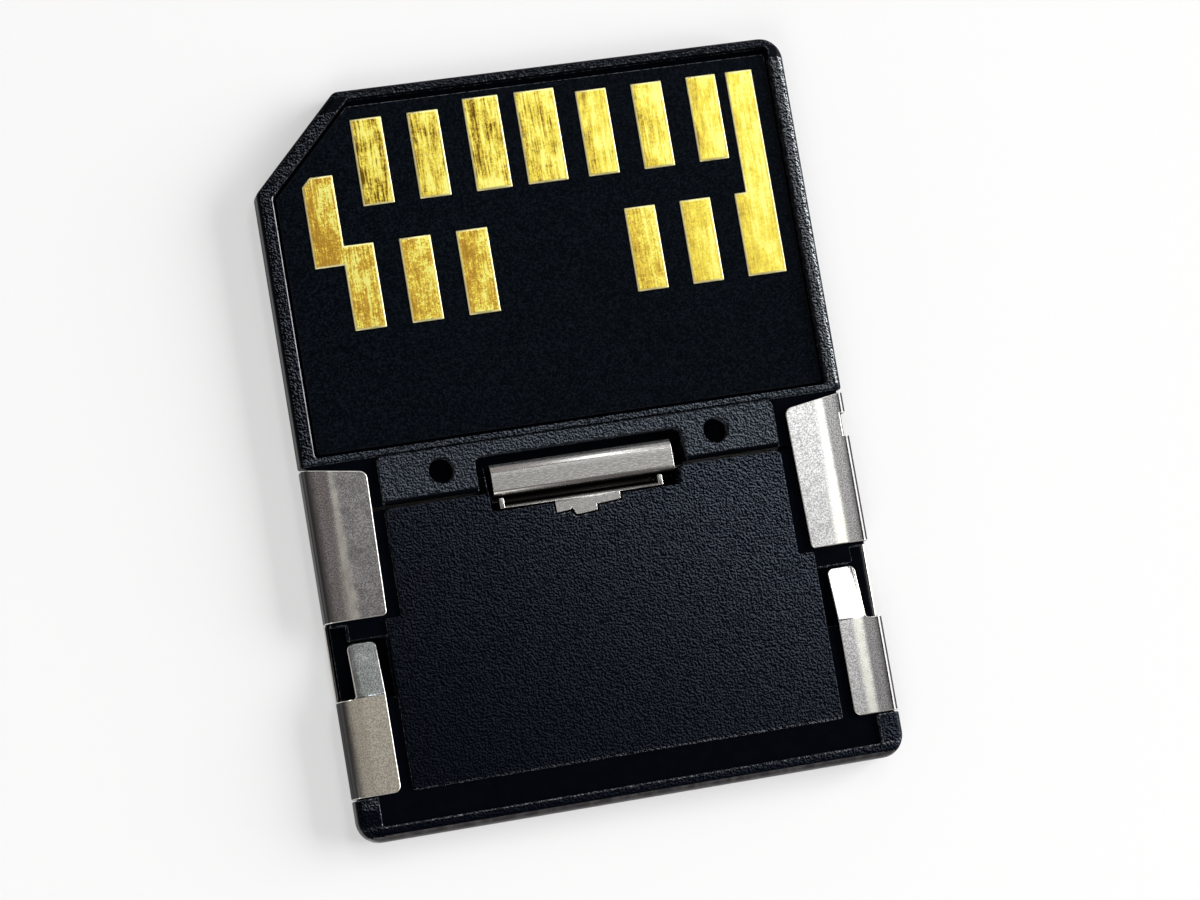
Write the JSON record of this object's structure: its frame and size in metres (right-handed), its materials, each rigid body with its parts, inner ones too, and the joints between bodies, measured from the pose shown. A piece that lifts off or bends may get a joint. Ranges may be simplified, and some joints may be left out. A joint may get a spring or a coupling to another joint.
{
  "type": "reduced-size multimedia card in its full-size adapter",
  "caption": "Flat memory card with a cut corner and rows of gold contacts, seated in a plastic adapter with folded steel clips and a spring latch, so it fits a full-size slot.",
  "frame": {"origin": "centre of the 24 x 32 mm outline, on the label-side plane that the card lies on", "axes": "+Y towards the contact edge that goes into the slot first, +Z out of the contact face, +X to the right seen from the contact side"},
  "size_m": [0.024, 0.032, 0.0014],
  "materials": {
    "card_plastic": "fine pebbled grain, matt",
    "adapter_plastic": "pebbled grain on raised faces, smooth in the sunk band",
    "board_mask": "smooth matt solder mask",
    "contact_gold": "thin hard gold plating, rubbed along the insertion direction",
    "shell_steel": "satin stainless sheet with bright cut edges",
    "spring_steel": "satin spring steel strip",
    "chip_epoxy": "matt moulded epoxy",
    "capacitor_ceramic": "matt fired ceramic",
    "resistor_ceramic": "glazed ceramic"
  },
  "bodies": {
    "adapter": {"adapter_body": "adapter_plastic", "steel_shell": "shell_steel", "latch_spring": "spring_steel"},
    "card": {"card_frame": "card_plastic", "card_cover": "card_plastic", "contact_board": "board_mask", "contact_1": "contact_gold", "contact_2": "contact_gold", "contact_3": "contact_gold", "contact_4": "contact_gold", "contact_5": "contact_gold", "contact_6": "contact_gold", "contact_7": "contact_gold", "contact_8": "contact_gold", "contact_9": "contact_gold", "contact_10": "contact_gold", "contact_11": "contact_gold", "contact_12": "contact_gold", "contact_13": "contact_gold", "memory_chip": "chip_epoxy", "controller_chip": "chip_epoxy", "capacitors": "capacitor_ceramic", "resistors": "resistor_ceramic"}
  },
  "joints": [
    {"name": "card_slide", "type": "slide", "parent": "adapter", "child": "card", "axis": [0, 1, 0], "range_m": [0, 0.003]}
  ]
}
